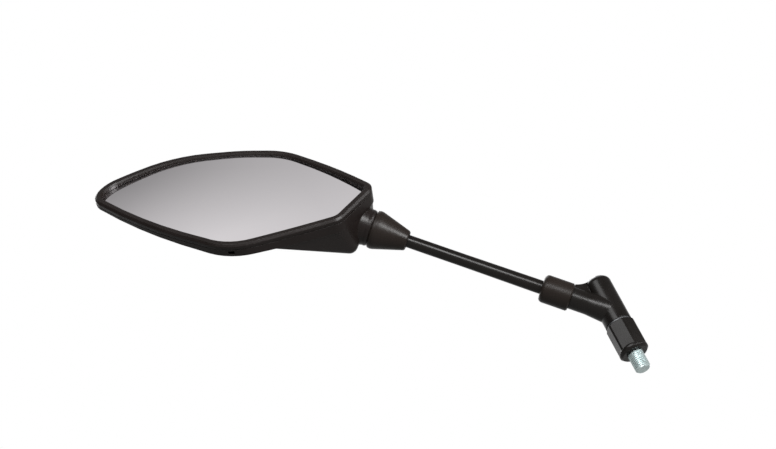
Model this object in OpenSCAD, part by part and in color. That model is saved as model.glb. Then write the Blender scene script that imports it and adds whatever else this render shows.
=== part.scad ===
// Left-hand motorcycle rear-view mirror: a convex glass in a moulded leaf-shaped head, carried by
// a ball joint on a straight stem, a cast elbow and a swivelling hexagon adapter with a stud.
// Frame: the origin is the shoulder of the stud, +Z runs up the stud's axis, the glass looks
// towards -Y and the stem leans towards -X.

/* [Mounting stud and hexagon] */
// Thread diameter of the mounting stud, mm
stud_d = 10; // [8:0.5:11]
// Length of stud that stands out under the hexagon, mm
stud_len = 12; // [10:1:30]
// Size of the hexagon across its flats, mm
hex_af = 17; // [16:0.5:19]
// Length of the hexagon adapter, mm
hex_len = 22; // [22:1:40]
// Height of the round collar turned on the hexagon's lower end, mm
hex_collar_h = 2.7; // [1.5:0.1:4]

/* [Elbow] */
// Diameter of the elbow's upright leg, mm
leg_d = 17.4; // [17:0.2:20]
// Length of the elbow's upright leg, mm
leg_len = 34; // [34:1:42]
// Radius rolled on the leg's top edge, mm
leg_round = 4; // [2:0.5:5]
// Height of the arm's axis above the foot of the leg, mm
arm_rise = 9.6; // [9:0.2:12]
// Diameter of the elbow's arm, mm
arm_d = 14.2; // [13.6:0.2:16]
// Length of the arm from the leg's axis to its end face, mm
arm_len = 27; // [27:1:36]
// Angle between the stud's axis and the stem, degrees
elbow_angle = 50; // [45:1:55]
// Thickness of the web between arm and leg, mm
web_t = 6; // [4:0.5:9]
// Radius of the hollow along the web's upper edge, mm
web_hollow_r = 14; // [12:1:18]

/* [Swivel] */
// Thread diameter of the pivot screw, mm
pivot_d = 8; // [6:0.5:8]
// Length of the pivot screw's thread inside the hexagon, mm
pivot_bite = 9.5; // [7:0.5:10]
// Diameter of the pivot screw's head, mm
pivot_head_d = 13; // [12:0.2:13]
// Thickness of the friction washer under the leg, mm
friction_t = 0.8; // [0.6:0.1:1]

/* [Stem] */
// Distance from the elbow's corner to the centre of the ball, mm
stem_len = 165; // [140:5:200]
// Diameter of the stem beside the ball, mm
stem_d = 8.1; // [7.5:0.1:8.4]
// Diameter of the stem where it leaves the rubber cap, mm
stem_root_d = 8.7; // [8.5:0.1:9.2]
// Thread diameter of the stem's lower end, mm
stem_thread_d = 8; // [7:0.5:8]
// Outer diameter of the rubber cap over the lock nut, mm
cap_d = 17.9; // [17.4:0.1:20]
// Length of the rubber cap, mm
cap_len = 19.3; // [17:0.5:26]
// Size of the lock nut across its flats, mm
nut_af = 13; // [12:0.5:13]
// Thickness of the lock nut, mm
nut_t = 6; // [4:0.5:6.5]

/* [Ball joint] */
// Diameter of the ball on the stem, mm
ball_d = 14; // [13.6:0.2:14.4]
// Wall thickness of the plastic seats round the ball, mm
seat_t = 1.7; // [1.4:0.1:1.8]
// Outer diameter of the neck that grows from the housing, mm
neck_d = 23.6; // [22.8:0.2:24]
// Thickness of the neck's domed mouth, mm
mouth_t = 3.6; // [3:0.1:4]
// Largest tilt of the head about each of its two tilt axes, degrees
tilt_range = 11; // [8:1:12]
// Diameter of the boot at its shoulder, mm
boot_d = 24.8; // [24.4:0.1:25.4]
// Diameter of the boot at its small end, mm
boot_tip_d = 12.7; // [11.5:0.1:13.5]
// Distance from the ball's centre to the boot's small end, mm
boot_reach = 30.3; // [28:0.5:34]

/* [Head] */
// Length of the visible glass, mm
glass_length = 167; // [164:1:170]
// Height of the visible glass, mm
glass_height = 88; // [86:1:90]
// Radius of the convex glass surface, mm
glass_curve_r = 1500; // [1400:50:1600]
// Thickness of the glass, mm
glass_t = 2; // [1.8:0.1:2.2]
// Width of the rim round the glass, mm
rim_w = 5; // [4.8:0.1:5.5]
// Height of the rim above the glass edge plane, mm
rim_h = 2.5; // [2:0.1:3]
// Wall thickness of the rear housing, mm
shell_t = 2.2; // [2:0.1:2.4]
// Depth of the ball's centre behind the glass edge plane, mm
ball_depth = 22; // [21.5:0.5:23]
// Turn of the head about X, Y and Z that sets it as photographed, degrees
head_turn = [69, 25.1, -18.3];

/* [Hidden] */
$fn = 72;
hull_fn = 32;
sphere_fn = 256;

// Named clearances
face_gap = 0.1;
thread_gap = 0.03;
seat_gap = 0.3;
slide_gap = 0.08;
fit_gap = 0.1;
far = 300;

// Stud, hexagon and swivel
stud_hold = 9;
stud_chamfer = 1;
stud_root_r = stud_d / 2 - 0.4;
tip_gap = 1.1;
hex_r = hex_af / 2 / cos(30);
hex_turned_r = hex_r - 0.4;
hex_collar_r = hex_r - 0.3;
hex_chamfer = 0.8;
collar_chamfer = 1.3;
hex_turn = 24;
pivot_hole_depth = pivot_bite + tip_gap;
friction_r = hex_af / 2 - 0.2;
leg_base = hex_len + 2 * face_gap + friction_t;
leg_top = leg_base + leg_len;
arm_height = leg_base + arm_rise;
pocket_r = pivot_head_d / 2 + seat_gap;
pocket_depth = 19;
pocket_floor = leg_top - pocket_depth;
flat_washer_t = 1.2;
disc_t = 0.9;
disc_dish = 0.5;
disc_pack = 2 * (disc_t + disc_dish) + 3 * face_gap;
pivot_head_h = 8;
pivot_head_z = pocket_floor + 2 * face_gap + flat_washer_t + disc_pack;
pivot_len = pivot_head_z - hex_len + pivot_bite;
plug_t = 3.2;
arm_blend = 16;
web_side = cap_d / 2 - 0.2;
web_low_x = -10;
web_low_z = leg_top - 1.2;

// Stem, counted along its axis from the elbow's corner
stem_start = 14.3;
thread_end = 40;
root_past_cap = 4;
taper_end = 97;
cap_start = arm_len + face_gap;
cap_end = cap_start + cap_len;
cap_round = 3;
cap_edge = 0.8;
root_end = cap_end + root_past_cap;
nut_r = nut_af / 2 / cos(30);

// Ball joint, counted from the ball's centre; the outward side faces the stem
ball_r = ball_d / 2;
seat_in_r = ball_r + seat_gap;
seat_out_r = seat_in_r + seat_t;
socket_r = seat_out_r + seat_gap;
bore_r = socket_r + fit_gap;
neck_r = neck_d / 2;
mouth_r = socket_r + mouth_t;
boot_face_r = mouth_r + seat_gap;
seat_opening = asin((stem_d / 2) / seat_in_r) + tilt_range + 2;
mouth_opening = asin((stem_d / 2) / socket_r) + 1.42 * tilt_range + 2;
stem_tip = 2;
neck_inner_end = 12;
neck_root_z = -4;
neck_root_h = 7.5;
neck_flare = 2.2;
cup_front = 1;
cup_back = socket_r + 2.2;
cup_r = bore_r - fit_gap;
joint_disc_t = 1.4;
joint_disc_wall = 0.8;
joint_disc_r = cup_r - 0.4;
joint_disc_bore_r = joint_disc_r - 4.1;
plate_z = cup_back + joint_disc_t + 2 * face_gap;
plate_t = 2;
plate_r = 8.8;
clamp_pitch = 13.5;
clamp_screw_d = 3.5;
clamp_screw_len = 11;
boss_r = 4;
clamp_twist = 9;

// Boot profile
boot_r = boot_d / 2;
boot_tip_r = boot_tip_d / 2;
boot_shoulder = 10;
boot_wall = 2.3;
boot_grip = 8;
boot_rim_out = neck_r - 0.4;
boot_rim_in = boot_rim_out - 2;

// Head, in its own frame: X along the glass, Y up it, Z out of it, origin at the glass centre
ball_x = glass_length * 0.4867;
ball_y = -7.4;
glass_rise = 1.3;
pad_t = 1;
carrier_t = 1.2;
rim_foot = -0.8;
rim_chamfer = 1.3;
wall_top = -1.2;
wall_low = -5.6;
wall_slope = 2;
back_depth = 7;
dome_steps = 4;
dome_turn = 19;
ledge = -3.4;
glass_tuck = 1.2;
plate_back = glass_t + pad_t + carrier_t + 3 * face_gap;
rib_t = 1.8;
rib_first = -50;
rib_last = 40;
rib_pitch = 30;
rib_row_y = -6;
rib_back = 1.1;
drain_x = 8;
drain_w = 4;
drain_h = 2.6;
drain_low = -4.6;

// The corners of the visible glass, anticlockwise from the lowest: place as a share of the
// length and height, how far its rounding reaches as a share of the shorter edge beside it, and
// how far the edge after it bows outwards in mm.
glass_corners = [
    [0.033, -0.604, 0.23, 0.36],
    [0.419, -0.313, 0.094, 0],
    [0.513, 0.006, 0.098, 1.16],
    [0.166, 0.444, 0.194, 0.89],
    [-0.247, 0.432, 0.53, 0.2],
    [-0.480, 0.128, 0.44, 0],
    [-0.514, -0.008, 0.5, 2.9]
];
arc_steps = 7;
bow_steps = 5;

// The back corners of the deep end: place from the ball's centre along the head's X, Y and Z, and
// ball radius, mm
deep_corners = [
    [-7.3, -13.1, -5, 5.5],
    [2.7, 10.4, 3, 3.7],
    [0.6, 17.4, 4, 4],
    [-10.3, 19.4, -4, 5.5],
    [-25.3, -6.6, 2, 6],
    [-27.3, 19.4, 5, 6]
];
deep_reach = 47.3;
deep_slant = 18;

// Outline of the glass: rounded corners joined by slightly bowed edges

function unit(v) = v / norm(v);
function left_of(v) = [-v[1], v[0]];
function corner_at(i) = let (c = glass_corners[(i + len(glass_corners)) % len(glass_corners)])
    [c[0] * glass_length, c[1] * glass_height];
function way(i) = unit(corner_at(i + 1) - corner_at(i));
function turn_at(i) = acos(way(i - 1) * way(i));
function edge_length(i) = norm(corner_at(i + 1) - corner_at(i));
function setback(i) = glass_corners[i % len(glass_corners)][2] * min(edge_length(i - 1), edge_length(i));
function corner_r(i) = setback(i) / tan(turn_at(i) / 2);
function arc_start(i) = corner_at(i) - way(i - 1) * setback(i);
function arc_centre(i) = arc_start(i) + left_of(way(i - 1)) * corner_r(i);
function corner_arc(i) = let (d = way(i - 1), a = atan2(-d[0], d[1]), r = corner_r(i))
    [for (k = [0 : arc_steps]) let (b = a + turn_at(i) * k / arc_steps)
        arc_centre(i) + r * [cos(b), sin(b)]];
function bowed_edge(i) = let (
        p = corner_at(i) + way(i) * setback(i),
        q = arc_start((i + 1) % len(glass_corners)),
        side = -left_of(way(i)), b = glass_corners[i][3])
    [for (k = [1 : bow_steps - 1]) let (t = k / bow_steps) p + (q - p) * t + side * 4 * b * t * (1 - t)];
edge_points = [for (i = [0 : len(glass_corners) - 1]) each concat(corner_arc(i), bowed_edge(i))];
function edge_normal(i) = let (n = len(edge_points))
    -left_of(unit(edge_points[(i + 1) % n] - edge_points[(i + n - 1) % n]));

// The outline moved outwards by a distance
function outline(grow) = [for (i = [0 : len(edge_points) - 1]) edge_points[i] + grow * edge_normal(i)];
// The outline drawn smaller, for the back of the housing
function small_outline(kx, ky) = [for (p = edge_points) [p[0] * kx, p[1] * ky]];

// Frames

// Along the stem, from the elbow's corner
module along_stem(d = 0) {
    translate([0, 0, arm_height])
        rotate([0, -elbow_angle, 0])
            translate([0, 0, d])
                children();
}

// At the ball's centre, +Z pointing outwards along the stem
module at_ball() {
    along_stem(stem_len)
        rotate([0, 180, 0])
            children();
}

// The head's own frame
module in_head() {
    along_stem(stem_len)
        rotate([0, elbow_angle, 0])
            rotate(head_turn)
                translate([-ball_x, -ball_y, ball_depth])
                    children();
}

// A ball joint piece cut by a cone of half-angle a round the outward axis
module opening_cone(a, reach) {
    cylinder(h = reach, r1 = 0, r2 = reach * tan(a));
}

// A round bar with its edges chamfered by c at both ends
module chamfered_bar(r, h, c) {
    rotate_extrude()
        polygon([[0, 0], [r - c, 0], [r, c], [r, h - c], [r - c, h], [0, h]]);
}

module hex_prism(r, h) {
    cylinder(h = h, r = r, $fn = 6);
}

// Root: stud, hexagon and pivot screw

module threaded_stud() {
    color("silver")
        rotate_extrude()
            polygon([
                [0, -stud_len],
                [stud_d / 2 - stud_chamfer, -stud_len],
                [stud_d / 2, -stud_len + stud_chamfer],
                [stud_d / 2, 0],
                [stud_root_r, 0],
                [stud_root_r, stud_hold - 0.5],
                [stud_root_r - 0.5, stud_hold],
                [0, stud_hold]
            ]);
}

module hex_adapter() {
    color([0.13, 0.13, 0.13])
        difference() {
            union() {
                chamfered_bar(hex_collar_r, hex_collar_h + collar_chamfer, collar_chamfer);
                intersection() {
                    translate([0, 0, hex_collar_h])
                        rotate([0, 0, hex_turn])
                            hex_prism(hex_r, hex_len - hex_collar_h);
                    chamfered_bar(hex_turned_r, hex_len, hex_chamfer);
                }
            }
            translate([0, 0, -1])
                cylinder(h = stud_hold + 1.3, r = stud_root_r + thread_gap);
            translate([0, 0, hex_len - pivot_hole_depth])
                cylinder(h = pivot_hole_depth + 1, r = pivot_d / 2 + thread_gap);
        }
}

module friction_washer() {
    color([0.55, 0.5, 0.4])
        translate([0, 0, hex_len + face_gap])
            difference() {
                cylinder(h = friction_t, r = friction_r);
                translate([0, 0, -1])
                    cylinder(h = friction_t + 2, r = pivot_d / 2 + fit_gap);
            }
}

module pivot_screw() {
    color("dimgray")
        translate([0, 0, pivot_head_z])
            difference() {
                union() {
                    chamfered_bar(pivot_head_d / 2, pivot_head_h, 0.6);
                    translate([0, 0, -pivot_len])
                        chamfered_bar(pivot_d / 2, pivot_len + 1, 0.8);
                }
                translate([0, 0, pivot_head_h / 2])
                    hex_prism(3.5, pivot_head_h);
            }
}

module flat_washer() {
    color("silver")
        translate([0, 0, pocket_floor + face_gap])
            difference() {
                cylinder(h = flat_washer_t, r = pivot_head_d / 2 - 0.1);
                translate([0, 0, -1])
                    cylinder(h = flat_washer_t + 2, r = pivot_d / 2 + 0.2);
            }
}

// One dished washer, lower at its rim
module dished_washer(r_in, r_out, t, dish) {
    rotate_extrude()
        polygon([[r_in, dish], [r_out, 0], [r_out, t], [r_in, t + dish]]);
}

// Two dished washers set rim to rim, so that each adds its spring travel
module disc_springs() {
    one = disc_t + disc_dish;
    base = pocket_floor + face_gap + flat_washer_t + face_gap;
    color("gray") {
        translate([0, 0, base + one])
            mirror([0, 0, 1])
                dished_washer(pivot_d / 2 + 0.2, pivot_head_d / 2 - 0.2, disc_t, disc_dish);
        translate([0, 0, base + one + face_gap])
            dished_washer(pivot_d / 2 + 0.2, pivot_head_d / 2 - 0.2, disc_t, disc_dish);
    }
}

// Arm: elbow, stem and ball

module leg_outside() {
    translate([0, 0, leg_base])
        rotate_extrude() {
            square([leg_d / 2 - leg_round, leg_len]);
            square([leg_d / 2, leg_len - leg_round]);
            translate([leg_d / 2 - leg_round, leg_len - leg_round])
                intersection() {
                    circle(r = leg_round);
                    square(leg_round);
                }
        }
}

// A flat web fills the corner between arm and leg, hollowed along its upper edge
module web() {
    rise = cos(elbow_angle);
    run = sin(elbow_angle);
    translate([0, web_t / 2, 0])
        rotate([90, 0, 0])
            linear_extrude(height = web_t)
                difference() {
                    polygon([
                        [0, arm_height],
                        [-arm_len * run, arm_height + arm_len * rise],
                        [-arm_len * run + web_side * rise, arm_height + arm_len * rise + web_side * run],
                        [-(leg_d / 2 - leg_round), leg_top],
                        [0, leg_top]
                    ]);
                    translate([web_low_x, web_low_z + web_hollow_r])
                        circle(r = web_hollow_r);
                }
}

module elbow() {
    color([0.1, 0.1, 0.1])
        difference() {
            union() {
                leg_outside();
                along_stem() {
                    cylinder(h = arm_len, r = arm_d / 2);
                    cylinder(h = arm_blend, r1 = leg_d / 2, r2 = arm_d / 2);
                }
                web();
            }
            translate([0, 0, pocket_floor])
                cylinder(h = pocket_depth + 1, r = pocket_r);
            translate([0, 0, leg_base - 1])
                cylinder(h = leg_len, r = pivot_d / 2 + slide_gap);
            along_stem(stem_start - 0.5)
                cylinder(h = arm_len, r = stem_thread_d / 2 + thread_gap);
        }
}

// The snap-in plug that closes the spring pocket on top of the leg
module top_plug() {
    color([0.15, 0.15, 0.15])
        translate([0, 0, leg_top - plug_t])
            difference() {
                chamfered_bar(pocket_r - thread_gap, plug_t, 0.5);
                translate([0, 0, -1])
                    cylinder(h = plug_t - 0.4, r = pocket_r - 1.8);
            }
}

module stem_rod() {
    color([0.16, 0.16, 0.16])
        along_stem()
            rotate_extrude()
                polygon([
                    [0, stem_start],
                    [stem_thread_d / 2 - 0.8, stem_start],
                    [stem_thread_d / 2, stem_start + 0.8],
                    [stem_thread_d / 2, thread_end],
                    [stem_root_d / 2, thread_end + 0.5],
                    [stem_root_d / 2, root_end],
                    [stem_d / 2, taper_end],
                    [stem_d / 2, stem_len + stem_tip - 0.5],
                    [stem_d / 2 - 0.5, stem_len + stem_tip],
                    [0, stem_len + stem_tip]
                ]);
}

module lock_nut() {
    color("silver")
        along_stem(arm_len + face_gap)
            difference() {
                intersection() {
                    hex_prism(nut_r, nut_t);
                    chamfered_bar(nut_r, nut_t, 0.6);
                }
                translate([0, 0, -1])
                    cylinder(h = nut_t + 2, r = stem_thread_d / 2 + thread_gap);
            }
}

// Rubber cap pushed down the stem over the lock nut
module rod_cap() {
    color([0.2, 0.2, 0.2])
        along_stem(cap_start)
            difference() {
                rotate_extrude() {
                    polygon([
                        [0, 0],
                        [cap_d / 2 - cap_edge, 0],
                        [cap_d / 2, cap_edge],
                        [cap_d / 2, cap_len - cap_round],
                        [0, cap_len - cap_round]
                    ]);
                    square([cap_d / 2 - cap_round, cap_len]);
                    translate([cap_d / 2 - cap_round, cap_len - cap_round])
                        intersection() {
                            circle(r = cap_round);
                            square(cap_round);
                        }
                }
                translate([0, 0, -1])
                    cylinder(h = nut_t + 2, r = nut_r + fit_gap);
                translate([0, 0, -1])
                    cylinder(h = cap_len + 2, r = stem_root_d / 2 + 0.05);
            }
}

module joint_ball() {
    color("gainsboro")
        at_ball()
            difference() {
                sphere(r = ball_r);
                translate([0, 0, -stem_tip - 0.3])
                    cylinder(h = 2 * ball_r, r = stem_d / 2 + thread_gap);
            }
}

// Boot: a hollow cone that grips the stem and rides on the neck's domed mouth
function face_arc(r0, r1, n) = [for (k = [0 : n]) let (r = r0 + (r1 - r0) * k / n)
    [r, sqrt(boot_face_r * boot_face_r - r * r)]];
function boot_side(z) = boot_r + (boot_tip_r - boot_r) * (z - boot_shoulder) / (boot_reach - boot_shoulder);

module ball_boot() {
    rim_z = sqrt(boot_face_r * boot_face_r - boot_rim_in * boot_rim_in);
    grip_z = boot_reach - boot_grip;
    color([0.25, 0.24, 0.23])
        at_ball()
            rotate_extrude()
                polygon(concat(
                    face_arc(boot_rim_in, boot_rim_out, 6),
                    [
                        [boot_r - 0.25, boot_shoulder - 2.6],
                        [boot_r - 0.02, boot_shoulder - 1.4],
                        [boot_r, boot_shoulder - 0.6],
                        [boot_side(boot_shoulder + 0.8), boot_shoulder + 0.8],
                        [boot_tip_r + 0.1, boot_reach - 0.7],
                        [boot_tip_r - 0.7, boot_reach],
                        [stem_d / 2 + 0.9, boot_reach],
                        [stem_d / 2 + slide_gap, boot_reach - 0.8],
                        [stem_d / 2 + slide_gap, grip_z],
                        [boot_side(grip_z) - boot_wall, grip_z],
                        [boot_side(rim_z + 2) - boot_wall, rim_z + 2]
                    ]));
}

// Liner: two acetal cups round the ball, free to slip on it and in the neck

module seat_shell() {
    difference() {
        sphere(r = seat_out_r);
        sphere(r = seat_in_r);
        opening_cone(seat_opening, 2 * seat_out_r);
    }
}

module outer_seat() {
    color("ivory")
        at_ball()
            intersection() {
                seat_shell();
                translate([0, 0, face_gap])
                    cylinder(h = 2 * seat_out_r, r = 2 * seat_out_r);
            }
}

module inner_seat() {
    color("ivory")
        at_ball()
            difference() {
                seat_shell();
                translate([0, 0, -face_gap])
                    cylinder(h = 2 * seat_out_r, r = 2 * seat_out_r);
            }
}

// Head

// A block under the tilted plane along which the housing's side wall ends, moved down by drop
module below_wall(drop = 0) {
    translate([0, 0, wall_low - drop])
        rotate([0, wall_slope, 0])
            translate([-far / 2, -far / 2, -2 * far])
                cube([far, far, 2 * far]);
}

module side_wall(grow, drop) {
    difference() {
        translate([0, 0, -far])
            linear_extrude(height = far + wall_top)
                polygon(outline(grow));
        below_wall(drop);
    }
}

// The shallow dish behind the glass: the side wall closed by a dome of shrinking copies of its outline
module tray(grow, inset) {
    hull() {
        side_wall(grow, -0.6 * inset);
        for (k = [1 : dome_steps])
            translate([0, 0, wall_low + inset])
                rotate([0, wall_slope, 0])
                    translate([0, 0, -back_depth * sin(dome_turn * k)])
                        linear_extrude(height = 0.2)
                            polygon(outline(grow) * cos(dome_turn * k));
    }
}

// The seat cut in the housing for the glass and the rim's skirt
module glass_seat() {
    translate([0, 0, ledge])
        linear_extrude(height = rim_h - ledge)
            polygon(outline(rim_w - shell_t));
}

// The deep end behind the ball joint: hulled from part of the outline to a ball at each back corner
module deep_end(grow, inset) {
    hull() {
        intersection() {
            translate([0, 0, wall_low + inset])
                rotate([0, wall_slope, 0])
                    linear_extrude(height = 3)
                        polygon(outline(grow));
            translate([ball_x - deep_reach + inset, -glass_height / 2, 0])
                rotate([0, 0, -deep_slant])
                    translate([0, -far / 2, -far / 2])
                        cube(far);
        }
        for (c = deep_corners)
            translate([ball_x + c[0], ball_y + c[1], c[2] - ball_depth])
                sphere(r = c[3] - inset, $fn = hull_fn);
    }
}

module neck_outside() {
    translate([0, 0, -neck_inner_end])
        cylinder(h = neck_inner_end + 3, r = neck_r);
    // Flared root, where the neck leaves the housing
    translate([0, 0, neck_root_z])
        cylinder(h = neck_root_h, r1 = neck_r + neck_flare, r2 = neck_r);
    intersection() {
        cylinder(h = 2 * mouth_r, r = neck_r);
        sphere(r = mouth_r);
    }
}

module neck_inside() {
    translate([0, 0, -2 * neck_inner_end])
        cylinder(h = 2 * neck_inner_end, r = bore_r);
    sphere(r = socket_r);
    opening_cone(mouth_opening, 2 * mouth_r);
}

module clamp_places() {
    for (side = [-1, 1])
        rotate([0, 0, -clamp_twist])
            translate([side * clamp_pitch, 0, 0])
                children();
}

module clamp_bosses() {
    clamp_places()
        translate([0, 0, -plate_z + face_gap])
            cylinder(h = plate_z - 2, r = boss_r);
}

// Cross ribs that stiffen the dish and back up the glass plate
module ribs() {
    intersection() {
        union() {
            for (x = [rib_first : rib_pitch : rib_last])
                translate([x - rib_t / 2, -far / 2, -far])
                    cube([rib_t, far, far]);
            translate([rib_first - rib_pitch, rib_row_y, -far])
                cube([rib_last - rib_first + rib_pitch, rib_t, far]);
        }
        curved_below(plate_back + seat_gap);
        translate([0, 0, -far])
            linear_extrude(height = far + rim_foot)
                polygon(small_outline(0.94, 0.94));
    }
}

module rear_housing() {
    color([0.14, 0.14, 0.14])
        difference() {
            union() {
                difference() {
                    in_head() {
                        tray(rim_w, 0);
                        deep_end(rim_w - 0.6, 0);
                    }
                    in_head() {
                        tray(rim_w - shell_t, shell_t);
                        deep_end(rim_w - 0.6 - shell_t, shell_t);
                        glass_seat();
                    }
                }
                at_ball()
                    neck_outside();
                intersection() {
                    union() {
                        at_ball()
                            clamp_bosses();
                        in_head()
                            ribs();
                    }
                    in_head() {
                        tray(rim_w - rib_back, rib_back);
                        deep_end(rim_w - 0.6 - rib_back, rib_back);
                    }
                }
            }
            at_ball()
                neck_inside();
            at_ball()
                clamp_places()
                    translate([0, 0, -plate_z - 1])
                        cylinder(h = clamp_screw_len, r = clamp_screw_d / 2 + thread_gap);
            in_head()
                translate([drain_x - drain_w / 2, -far / 2, drain_low])
                    cube([drain_w, far / 2 - glass_height * 0.45, drain_h]);
        }
}

module curved_below(drop) {
    translate([0, 0, glass_rise - glass_curve_r])
        rotate([90, 0, 0])
            sphere(r = glass_curve_r - drop, $fn = sphere_fn);
}

// A plate with the glass's own curve, its front face a distance behind the glass surface
module curved_plate(edge, front, t) {
    difference() {
        intersection() {
            translate([0, 0, -far / 2])
                linear_extrude(height = far)
                    polygon(edge);
            curved_below(front);
        }
        curved_below(front + t);
    }
}

module bezel() {
    color([0.16, 0.16, 0.16])
        in_head()
            difference() {
                union() {
                    hull() {
                        translate([0, 0, rim_foot])
                            linear_extrude(height = rim_h - rim_foot - rim_chamfer)
                                polygon(outline(rim_w));
                        translate([0, 0, rim_foot])
                            linear_extrude(height = rim_h - rim_foot)
                                polygon(outline(rim_w - rim_chamfer));
                    }
                    translate([0, 0, ledge + face_gap])
                        linear_extrude(height = -ledge)
                            polygon(outline(rim_w - shell_t - fit_gap));
                }
                translate([0, 0, -far / 2])
                    linear_extrude(height = far)
                        polygon(outline(0));
                hull() {
                    translate([0, 0, rim_h + 0.5])
                        linear_extrude(height = 1)
                            polygon(outline(1.4));
                    translate([0, 0, rim_h - 1])
                        linear_extrude(height = 1)
                            polygon(outline(0));
                }
                intersection() {
                    translate([0, 0, -far / 2])
                        linear_extrude(height = far)
                            polygon(outline(glass_tuck + 0.2));
                    curved_below(-0.2);
                }
            }
}

module mirror_glass() {
    color("lightsteelblue")
        in_head()
            curved_plate(outline(glass_tuck), 0, glass_t);
}

module foam_pad() {
    color("white")
        in_head()
            curved_plate(small_outline(0.81, 0.81), glass_t + face_gap, pad_t);
}

module carrier_plate() {
    color([0.3, 0.3, 0.3])
        in_head()
            curved_plate(small_outline(0.83, 0.83), glass_t + pad_t + 2 * face_gap, carrier_t);
}

// The sliding cup that presses the liner into the neck's mouth
module pressure_cup() {
    color("ivory")
        at_ball()
            difference() {
                translate([0, 0, -cup_back])
                    cylinder(h = cup_back - cup_front, r = cup_r);
                sphere(r = socket_r);
            }
}

module pressure_spring() {
    color("gray")
        at_ball()
            translate([0, 0, -cup_back - face_gap])
                mirror([0, 0, 1])
                    dished_washer(joint_disc_bore_r, joint_disc_r, joint_disc_wall, joint_disc_t - joint_disc_wall);
}

// A two-eared plate that holds the spring and cup down
module clamp_plate() {
    color("silver")
        at_ball()
            translate([0, 0, -plate_z - plate_t])
                linear_extrude(height = plate_t)
                    rotate(-clamp_twist)
                        difference() {
                            union() {
                                circle(r = plate_r);
                                square([2 * clamp_pitch, 2 * boss_r - 1.6], center = true);
                                for (side = [-1, 1])
                                    translate([side * clamp_pitch, 0])
                                        circle(r = boss_r);
                            }
                            for (side = [-1, 1])
                                translate([side * clamp_pitch, 0])
                                    circle(r = clamp_screw_d / 2 + 0.15);
                        }
}

module clamp_screws() {
    head_h = 2.2;
    color("gainsboro")
        at_ball()
            clamp_places()
                translate([0, 0, -plate_z - plate_t - face_gap]) {
                    translate([0, 0, -head_h])
                        chamfered_bar(clamp_screw_d * 0.95, head_h, 0.4);
                    translate([0, 0, -1])
                        chamfered_bar(clamp_screw_d / 2, clamp_screw_len + 1, 0.6);
                }
}

threaded_stud();
hex_adapter();
pivot_screw();
disc_springs();
flat_washer();
friction_washer();
elbow();
top_plug();
stem_rod();
lock_nut();
rod_cap();
joint_ball();
ball_boot();
outer_seat();
inner_seat();
rear_housing();
bezel();
pressure_cup();
pressure_spring();
clamp_plate();
clamp_screws();
carrier_plate();
foam_pad();
mirror_glass();
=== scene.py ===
"""Looks for a left-hand motorcycle mirror: convex glass in a leaf-shaped head on a straight stem.

Everything is in metres in the part's own frame: the origin is the shoulder of the mounting stud,
+Z runs up the stud, the glass looks towards -Y and the stem leans towards -X.
"""

import math

import bmesh
import bpy
from mathutils import Matrix, Vector


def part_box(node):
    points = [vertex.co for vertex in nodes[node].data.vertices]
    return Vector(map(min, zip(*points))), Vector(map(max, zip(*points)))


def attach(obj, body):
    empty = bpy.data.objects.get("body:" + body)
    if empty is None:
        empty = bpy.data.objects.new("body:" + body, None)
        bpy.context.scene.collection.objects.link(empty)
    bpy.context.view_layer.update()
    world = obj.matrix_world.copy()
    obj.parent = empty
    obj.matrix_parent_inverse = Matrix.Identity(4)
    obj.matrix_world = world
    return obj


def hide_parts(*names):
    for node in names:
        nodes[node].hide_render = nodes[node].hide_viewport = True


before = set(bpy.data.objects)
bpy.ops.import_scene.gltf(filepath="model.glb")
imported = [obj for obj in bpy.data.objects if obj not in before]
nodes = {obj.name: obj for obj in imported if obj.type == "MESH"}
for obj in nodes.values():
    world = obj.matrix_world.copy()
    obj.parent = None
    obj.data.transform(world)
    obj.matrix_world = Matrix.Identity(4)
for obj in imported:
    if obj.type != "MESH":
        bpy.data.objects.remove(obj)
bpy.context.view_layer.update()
MM = 0.001

# Places taken from the solids
stud_low, stud_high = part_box("threaded_stud")
STUD_R = (stud_high[0] - stud_low[0]) / 2
STUD_TIP = stud_low[2]


# Colour and material helpers. Nearly all of a noise's values lie between these two.
NOISE_LOW = 0.3
NOISE_HIGH = 0.7


def colour(text):
    """A linear RGBA colour from an sRGB hex value."""
    parts = [int(text[i:i + 2], 16) / 255 for i in (1, 3, 5)]
    return [c / 12.92 if c <= 0.04045 else ((c + 0.055) / 1.055) ** 2.4 for c in parts] + [1.0]


def add(owner, kind, settings=None, links=None):
    """Adds one node to a material or to the world; links maps an input of it to (node, output)."""
    tree = owner.node_tree
    shader_node = tree.nodes.new(kind)
    for key, value in (settings or {}).items():
        if isinstance(key, str) and hasattr(shader_node, key):
            setattr(shader_node, key, value)
        else:
            shader_node.inputs[key].default_value = value
    for key, (source, output) in (links or {}).items():
        tree.links.new(source.outputs[output], shader_node.inputs[key])
    return shader_node


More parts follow.
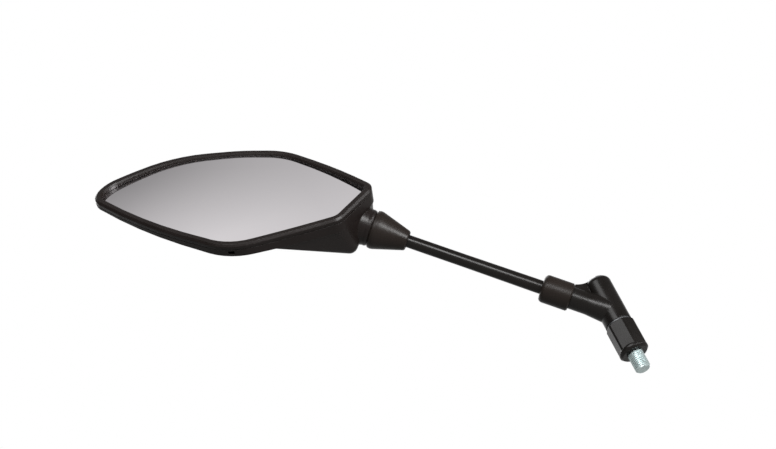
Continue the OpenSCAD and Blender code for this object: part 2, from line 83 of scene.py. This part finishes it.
def finish(name, dark, light, rough, grain_mm, bump_mm, shader,
           patch_mm=18.0, rough_spread=0.06, edge_mm=0.0):
    """A surface whose colour and gloss drift a little over patches and whose grain is grain_mm wide.

    edge_mm softens the shading of sharp corners, as a mould or a coat of paint leaves them.
    """
    material = bpy.data.materials.new(name)
    material.use_nodes = True
    body = material.node_tree.nodes["Principled BSDF"]
    for key, value in shader.items():
        body.inputs[key].default_value = value
    place = add(material, "ShaderNodeTexCoord")
    patches = add(material, "ShaderNodeTexNoise",
                  {"Scale": 1 / (patch_mm * MM), "Detail": 3.0, "Roughness": 0.55},
                  {"Vector": (place, "Object")})
    tint = add(material, "ShaderNodeMix", {"data_type": "RGBA", 6: colour(dark), 7: colour(light)},
               {0: (patches, "Fac")})
    gloss = add(material, "ShaderNodeMapRange",
                {"From Min": NOISE_LOW, "From Max": NOISE_HIGH,
                 "To Min": rough - rough_spread, "To Max": rough + rough_spread},
                {"Value": (patches, "Fac")})
    grain = add(material, "ShaderNodeTexNoise",
                {"Scale": 1 / (grain_mm * MM), "Detail": 2.0, "Roughness": 0.5},
                {"Vector": (place, "Object")})
    relief = add(material, "ShaderNodeBump", {"Strength": 1.0, "Distance": bump_mm * MM},
                 {"Height": (grain, "Fac")})
    link = material.node_tree.links.new
    if edge_mm:
        softened = add(material, "ShaderNodeBevel", {"samples": 4, "Radius": edge_mm * MM})
        link(softened.outputs["Normal"], relief.inputs["Normal"])
    link(tint.outputs[2], body.inputs["Base Color"])
    link(gloss.outputs["Result"], body.inputs["Roughness"])
    link(relief.outputs["Normal"], body.inputs["Normal"])
    return material


# Injection-moulded ABS: black, satin, with the faint even grain of a spark-eroded mould
moulded_abs = finish("moulded_abs", "#0c0908", "#120e0d", 0.32, 0.35, 0.004,
                     {"Specular IOR Level": 0.095}, edge_mm=0.7)
# Polished ABS of the snap-in plug
polished_abs = finish("polished_abs", "#121212", "#161515", 0.2, 0.8, 0.002, {"IOR": 1.53})
# Powder coat baked on cast metal: deep gloss with a soft orange peel
powder_coat = finish("powder_coat", "#080706", "#0d0b0a", 0.27, 1.6, 0.004,
                     {"Specular IOR Level": 0.13}, edge_mm=0.6)
# Moulded EPDM rubber: broad dull sheen
epdm_rubber = finish("epdm_rubber", "#0f0c0a", "#15110f", 0.32, 0.3, 0.006, {"Specular IOR Level": 0.08})
# Bright zinc plating on a machined bar: a cool, slightly cloudy metal
zinc_plate = finish("zinc_plate", "#8b9797", "#a3aeae", 0.34, 0.25, 0.0008, {"Metallic": 0.75})
# Zinc plating painted dark grey as painted shade, on a washer and a nut that sit in the seams between
# parts
seam_shade_zinc = finish("seam_shade_zinc", "#3c3d3e", "#4a4b4c", 0.5, 0.3, 0.002, {"Metallic": 0.8})
# Phosphated spring steel
spring_steel = finish("spring_steel", "#55585a", "#6a6d6f", 0.35, 0.3, 0.002, {"Metallic": 1.0})
# Black-oxide screw steel
black_oxide = finish("black_oxide", "#1b1b1d", "#262628", 0.4, 0.3, 0.003, {"Metallic": 1.0})
# Natural acetal: milky white, waxy
natural_acetal = finish("natural_acetal", "#dedbd0", "#e8e6dd", 0.35, 0.5, 0.002, {"IOR": 1.48})
# Glass-filled nylon back plate
filled_nylon = finish("filled_nylon", "#2a2a2b", "#333334", 0.5, 0.4, 0.006, {"IOR": 1.53})
# Closed-cell foam tape
foam_tape = finish("foam_tape", "#c8c8c3", "#d6d6d2", 0.8, 0.5, 0.08, {"IOR": 1.4})
# Silvered glass: a neutral reflector whose coating varies by a hair
silvered_glass = finish("silvered_glass", "#e6e2e5", "#ebe7e9", 0.03, 40.0, 0.0005,
                        {"Metallic": 1.0}, patch_mm=120.0, rough_spread=0.005)

FINISHES = {
    "threaded_stud": zinc_plate, "hex_adapter": powder_coat, "pivot_screw": black_oxide,
    # The friction washer and the lock nut take the zinc darkened with painted seam shade
    "disc_springs": spring_steel, "flat_washer": zinc_plate, "friction_washer": seam_shade_zinc,
    "elbow": powder_coat, "top_plug": polished_abs, "stem_rod": powder_coat, "lock_nut": seam_shade_zinc,
    "rod_cap": epdm_rubber, "joint_ball": zinc_plate, "ball_boot": epdm_rubber,
    "outer_seat": natural_acetal, "inner_seat": natural_acetal, "rear_housing": moulded_abs,
    "bezel": moulded_abs, "pressure_cup": natural_acetal, "pressure_spring": spring_steel,
    "clamp_plate": zinc_plate, "clamp_screws": zinc_plate, "carrier_plate": filled_nylon,
    "foam_pad": foam_tape, "mirror_glass": silvered_glass,
}
for name, material in FINISHES.items():
    nodes[name].data.materials.clear()
    nodes[name].data.materials.append(material)


# The mounting stud with its rolled thread: a core with a chamfered end and a ridge wound round it,
# from the tip to just above the shoulder, inside the adapter
THREAD_PITCH = 1.25 * MM
THREAD_DEPTH = 0.68 * MM
HALF_FOOT = 0.44 * THREAD_PITCH
HALF_CREST = 0.09 * THREAD_PITCH
FOOT_SUNK = 0.05 * MM
THREAD_REACH = 0.6 * MM
CHAMFER = 1.0 * MM
STUD_TOP = stud_high[2]
STUD_SIDES = 96
TURN_STEPS = 48


def limit_to_chamfer(shape):
    """Draws in what would stand out of the chamfer at the stud's end."""
    for vert in shape.verts:
        reach = math.hypot(vert.co.x, vert.co.y)
        allowed = STUD_R - CHAMFER + (vert.co.z - STUD_TIP)
        if reach > allowed > 0:
            vert.co.x *= allowed / reach
            vert.co.y *= allowed / reach


def threaded_stud():
    """Core and ridge in one mesh; the ridge stands on the core's root radius."""
    root = STUD_R - THREAD_DEPTH
    tip = STUD_R - CHAMFER
    shape = bmesh.new()
    bmesh.ops.create_circle(shape, cap_ends=True, segments=STUD_SIDES, radius=tip)
    bmesh.ops.translate(shape, verts=shape.verts, vec=(0, 0, STUD_TIP))
    top = list(shape.faces)
    # First the core's part of the chamfer, then its straight length
    for rise, growth in ((root - tip, root / tip), (STUD_TOP - STUD_TIP - root + tip, 1.0)):
        grown = bmesh.ops.extrude_face_region(shape, geom=top)["geom"]
        top = [part for part in grown if isinstance(part, bmesh.types.BMFace)]
        verts = [part for part in grown if isinstance(part, bmesh.types.BMVert)]
        bmesh.ops.translate(shape, verts=verts, vec=(0, 0, rise))
        bmesh.ops.scale(shape, verts=verts, vec=(growth, growth, 1))
    # The ridge's section: flat crest, flanks about 33 degrees from square, foot sunk in the core
    section = [(root - FOOT_SUNK, -HALF_FOOT), (root, -HALF_FOOT), (STUD_R, -HALF_CREST),
               (STUD_R, HALF_CREST), (root, HALF_FOOT), (root - FOOT_SUNK, HALF_FOOT)]
    start = STUD_TIP + HALF_FOOT
    face = shape.faces.new([shape.verts.new((r, 0, start + z)) for r, z in section])
    turns = int((THREAD_REACH - start) / THREAD_PITCH) + 1
    bmesh.ops.spin(shape, geom=list(face.verts) + list(face.edges) + [face],
                   cent=(0, 0, 0), axis=(0, 0, 1), dvec=(0, 0, THREAD_PITCH / TURN_STEPS),
                   angle=math.radians(360 * turns), steps=TURN_STEPS * turns, use_merge=False)
    limit_to_chamfer(shape)
    bmesh.ops.recalc_face_normals(shape, faces=shape.faces)
    mesh = bpy.data.meshes.new("rolled_stud")
    shape.to_mesh(mesh)
    shape.free()
    mesh.materials.append(zinc_plate)
    stud = bpy.data.objects.new("rolled_stud", mesh)
    bpy.context.scene.collection.objects.link(stud)
    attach(stud, "base")
    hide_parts("threaded_stud")


threaded_stud()


# The camera of the photograph, which looks up at the mirror from below and in front
CAMERA_PLACE = (-0.56834, -1.03806, -0.56448)
CAMERA_RIGHT = (0.9143, -0.1500, -0.3763)
CAMERA_UP = (0.2144, -0.6090, 0.7637)
CAMERA_BACK = (-0.3437, -0.7789, -0.5246)
LENS_MM = 98.38
SENSOR_MM = 36.0
NEAREST = 0.05
camera = bpy.data.objects.new("camera", bpy.data.cameras.new("camera"))
camera.data.lens = LENS_MM
camera.data.sensor_width = SENSOR_MM
camera.data.sensor_fit = "HORIZONTAL"
camera.data.clip_start = NEAREST
turn = Matrix((CAMERA_RIGHT, CAMERA_UP, CAMERA_BACK)).transposed()
camera.matrix_world = Matrix.Translation(CAMERA_PLACE) @ turn.to_4x4()
bpy.context.scene.collection.objects.link(camera)
bpy.context.scene.camera = camera
bpy.context.scene.view_settings.view_transform = "Standard"


# Floor, well below the mirror and the camera
FLOOR_Z = -2.0
FLOOR_HALF = 40.0
floor_mesh = bpy.data.meshes.new("floor")
shape = bmesh.new()
bmesh.ops.create_grid(shape, x_segments=1, y_segments=1, size=FLOOR_HALF)
bmesh.ops.translate(shape, verts=shape.verts, vec=(0, 0, FLOOR_Z))
shape.to_mesh(floor_mesh)
shape.free()
floor = bpy.data.objects.new("floor", floor_mesh)
bpy.context.scene.collection.objects.link(floor)
pale_floor = finish("pale_floor", "#ececea", "#f0f0ee", 0.7, 3.0, 0.02, {"IOR": 1.45}, patch_mm=400.0)
floor_mesh.materials.append(pale_floor)


# White surroundings for the camera. For light and reflections: dim walls in front and at the sides,
# a bright one behind the mirror, and a ceiling that is bright behind and greyer in front, where the
# glass looks into it and shows it growing paler again towards the rider.
world = bpy.data.worlds.new("studio")
bpy.context.scene.world = world
world.use_nodes = True
world.node_tree.nodes.clear()
way = add(world, "ShaderNodeTexCoord")
split = add(world, "ShaderNodeSeparateXYZ", {}, {"Vector": (way, "Generated")})


def ramp(axis, start, end, low, high, kind="LINEAR"):
    """A value that goes from low to high as the direction's X, Y or Z goes from start to end."""
    return add(world, "ShaderNodeMapRange",
               {"interpolation_type": kind, "From Min": start, "From Max": end,
                "To Min": low, "To Max": high},
               {"Value": (split, axis)})


def blend(share, first, second):
    """Goes from the first value to the second as the share goes from 0 to 1."""
    return add(world, "ShaderNodeMix", {"data_type": "FLOAT"}, {0: share, 2: first, 3: second})


ceiling_left = ramp("Y", -0.38, -0.24, 0.84, 0.32)
ceiling_right = ramp("Y", -0.42, -0.24, 0.74, 0.44)
across = ramp("X", 0.03, 0.17, 0.0, 1.0)
ceiling_front = blend((across, "Result"), (ceiling_left, "Result"), (ceiling_right, "Result"))
ceiling_behind = ramp("Y", -0.1, 0.3, 0.0, 2.6)
ceiling = add(world, "ShaderNodeMath", {"operation": "ADD"},
              {0: (ceiling_front, 0), 1: (ceiling_behind, "Result")})
back_wall = ramp("Y", 0.1, 0.8, 0.22, 1.3)
height = ramp("Z", -0.2, 0.4, 0.3, 1.0)
walls = add(world, "ShaderNodeMath", {"operation": "MULTIPLY"},
            {0: (back_wall, "Result"), 1: (height, "Result")})
ceiling_edge = ramp("Z", 0.78, 0.9, 0.0, 1.0, "SMOOTHSTEP")
shade = blend((ceiling_edge, "Result"), (walls, "Value"), (ceiling, "Value"))
lit = add(world, "ShaderNodeBackground", {"Strength": 1.0}, {"Color": (shade, 0)})
seen = add(world, "ShaderNodeBackground", {"Color": (1, 1, 1, 1), "Strength": 1.0})
rays = add(world, "ShaderNodeLightPath")
choose = add(world, "ShaderNodeMixShader", {}, {0: (rays, "Is Camera Ray"), 1: (lit, 0), 2: (seen, 0)})
add(world, "ShaderNodeOutputWorld", {}, {"Surface": (choose, 0)})


# The soft boxes, placed by their way out from the mirror's middle
MIDDLE = (-0.13, 0.0, 0.11)


def soft_box(name, way_out, reach, size, watts, spread, aim=MIDDLE):
    """A square soft box reach metres from its aim, facing it, its light kept to a cone."""
    light = bpy.data.lights.new(name, "AREA")
    light.shape = "SQUARE"
    light.size = size
    light.energy = watts
    light.spread = math.radians(spread)
    holder = bpy.data.objects.new(name, light)
    way_out = Vector(way_out).normalized()
    holder.location = Vector(aim) + way_out * reach
    holder.rotation_euler = way_out.to_track_quat("Z", "Y").to_euler()
    bpy.context.scene.collection.objects.link(holder)


soft_box("soft_box_front", (-0.42, -0.80, 0.28), 1.5, 1.0, 5.6, 75)
soft_box("soft_box_low", (-0.06, -1.0, 0.0), 1.5, 0.45, 2.6, 65)
soft_box("soft_box_low_right", (0.39, -0.89, -0.25), 1.5, 0.5, 5.6, 65)
soft_box("soft_box_right", (0.9, -0.6, -0.1), 1.5, 0.5, 2.6, 65)
soft_box("soft_box_back", (0.1, 0.6, 0.75), 1.6, 1.1, 8.0, 150)
# A wash on the floor alone, so that it throws a plain light on everything that faces down
soft_box("floor_wash", (0, 0, 1), 1.05, 3.0, 8.0, 180, aim=(*MIDDLE[:2], FLOOR_Z))
